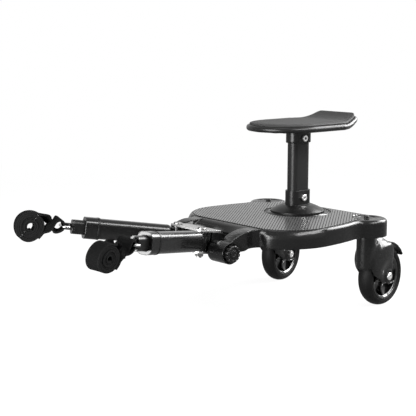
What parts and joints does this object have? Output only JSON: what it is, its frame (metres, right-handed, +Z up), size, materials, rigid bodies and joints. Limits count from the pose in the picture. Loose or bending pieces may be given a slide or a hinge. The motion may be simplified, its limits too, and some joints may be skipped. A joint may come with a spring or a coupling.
{
  "type": "buggy board",
  "caption": "Ride-on board for the back of a pushchair: moulded deck on swivel casters, plug-in seat on a post, and tilting, swinging, telescoping hitch arms with rolled webbing straps.",
  "frame": {"origin": "on the floor, in the middle of the box round the rigid pieces", "axes": "+Z up, -Y towards the pushchair, +X the board's left side"},
  "size_m": [0.2953, 0.6282, 0.3155],
  "materials": {
    "deck_gloss": "moulded black plastic, satin to gloss",
    "grip_rubber": "dark grey ribbed rubber, matte",
    "cap_plastic": "black plastic",
    "bright_steel": "zinc-plated steel",
    "plate_steel": "bright plated steel",
    "nylon": "natural nylon",
    "knob_plastic": "black plastic, satin",
    "bracket_paint": "black paint",
    "arm_plastic": "black plastic",
    "arm_gloss": "glossy black plastic",
    "ring_chrome": "bright chrome",
    "tube_paint": "glossy black paint",
    "webbing": "black woven webbing, matte",
    "fork_gloss": "glossy black plastic",
    "tyre_rubber": "black rubber, matte",
    "wheel_plastic": "dark plastic, satin",
    "seat_base_plastic": "black plastic, satin",
    "post_paint": "black powder coat, satin",
    "seat_shell": "black plastic, satin",
    "seat_foam": "black foam pad, matte"
  },
  "bodies": {
    "deck": {"deck_shell": "deck_gloss", "grip_mat": "grip_rubber", "swivel_caps": "cap_plastic", "swivel_kingpins": "bright_steel", "swivel_nuts": "bright_steel", "thrust_washers": "bright_steel", "hinge_rod": "bright_steel", "friction_washers": "nylon"},
    "bracket": {"hitch_bracket": "bracket_paint", "bracket_top_plate": "plate_steel", "bracket_bottom_plate": "plate_steel", "arm_pivot_bolts": "bright_steel", "arm_pivot_nuts": "bright_steel"},
    "seat": {"seat_base": "seat_base_plastic", "seat_post": "post_paint", "seat_pan": "seat_shell", "seat_pad": "seat_foam", "post_bolts": "bright_steel", "post_nuts": "bright_steel"},
    "arm_left": {"arm_root_left": "arm_plastic", "arm_sleeve_left": "arm_gloss", "sleeve_ring_left": "arm_gloss", "sleeve_collar_left": "arm_gloss"},
    "slider_left": {"inner_tube_left": "tube_paint", "tube_glide_left": "nylon", "tube_plug_left": "arm_plastic", "strap_ring_left": "ring_chrome", "strap_loop_left": "webbing", "strap_roll_left": "webbing"},
    "knob_left": {"hinge_knob_left": "knob_plastic"},
    "caster_left": {"caster_fork_left": "fork_gloss", "stem_bush_left": "nylon", "axle_bolt_left": "bright_steel", "axle_nut_left": "bright_steel"},
    "wheel_left": {"tyre_left": "tyre_rubber", "wheel_hub_left": "wheel_plastic", "wheel_bearings_left": "bright_steel"},
    "arm_right": {"arm_root_right": "arm_plastic", "arm_sleeve_right": "arm_gloss", "sleeve_ring_right": "arm_gloss", "sleeve_collar_right": "arm_gloss"},
    "slider_right": {"inner_tube_right": "tube_paint", "tube_glide_right": "nylon", "tube_plug_right": "arm_plastic", "strap_ring_right": "ring_chrome", "strap_loop_right": "webbing", "strap_roll_right": "webbing"},
    "knob_right": {"hinge_knob_right": "knob_plastic"},
    "caster_right": {"caster_fork_right": "fork_gloss", "stem_bush_right": "nylon", "axle_bolt_right": "bright_steel", "axle_nut_right": "bright_steel"},
    "wheel_right": {"tyre_right": "tyre_rubber", "wheel_hub_right": "wheel_plastic", "wheel_bearings_right": "bright_steel"}
  },
  "joints": [
    {"name": "tilt", "type": "hinge", "parent": "deck", "child": "bracket", "pos_m": [0, -0.07643, 0.122], "axis": [-1, 0, 0], "range_deg": [-30, 80]},
    {"name": "seat_lift", "type": "slide", "parent": "deck", "child": "seat", "axis": [0, 0, 1], "range_m": [0, 0.06]},
    {"name": "swing_left", "type": "hinge", "parent": "bracket", "child": "arm_left", "pos_m": [0.0288, -0.09542, 0.13658], "axis": [0, 0.153, 0.9882], "range_deg": [-13, 25]},
    {"name": "reach_left", "type": "slide", "parent": "arm_left", "child": "slider_left", "axis": [0.2974, -0.9435, 0.1461], "range_m": [0, 0.06]},
    {"name": "clamp_left", "type": "hinge", "parent": "deck", "child": "knob_left", "pos_m": [0.078, -0.07643, 0.122], "axis": [1, 0, 0], "range_deg": [0, 360]},
    {"name": "swivel_left", "type": "hinge", "parent": "deck", "child": "caster_left", "pos_m": [0.1146, 0.18357, 0.1221], "axis": [0, 0, 1], "continuous": true},
    {"name": "roll_left", "type": "hinge", "parent": "caster_left", "child": "wheel_left", "pos_m": [0.1097, 0.22629, 0.05], "axis": [0.9935, 0.1141, 0], "continuous": true},
    {"name": "swing_right", "type": "hinge", "parent": "bracket", "child": "arm_right", "pos_m": [-0.0288, -0.09542, 0.13658], "axis": [0, -0.153, -0.9882], "range_deg": [-18, 20]},
    {"name": "reach_right", "type": "slide", "parent": "arm_right", "child": "slider_right", "axis": [-0.3795, -0.9143, 0.1415], "range_m": [0, 0.06]},
    {"name": "clamp_right", "type": "hinge", "parent": "deck", "child": "knob_right", "pos_m": [-0.078, -0.07643, 0.122], "axis": [-1, 0, 0], "range_deg": [0, 360]},
    {"name": "swivel_right", "type": "hinge", "parent": "deck", "child": "caster_right", "pos_m": [-0.1146, 0.18357, 0.1221], "axis": [0, 0, 1], "continuous": true},
    {"name": "roll_right", "type": "hinge", "parent": "caster_right", "child": "wheel_right", "pos_m": [-0.12391, 0.22556, 0.05], "axis": [0.9763, 0.2164, 0], "continuous": true}
  ]
}
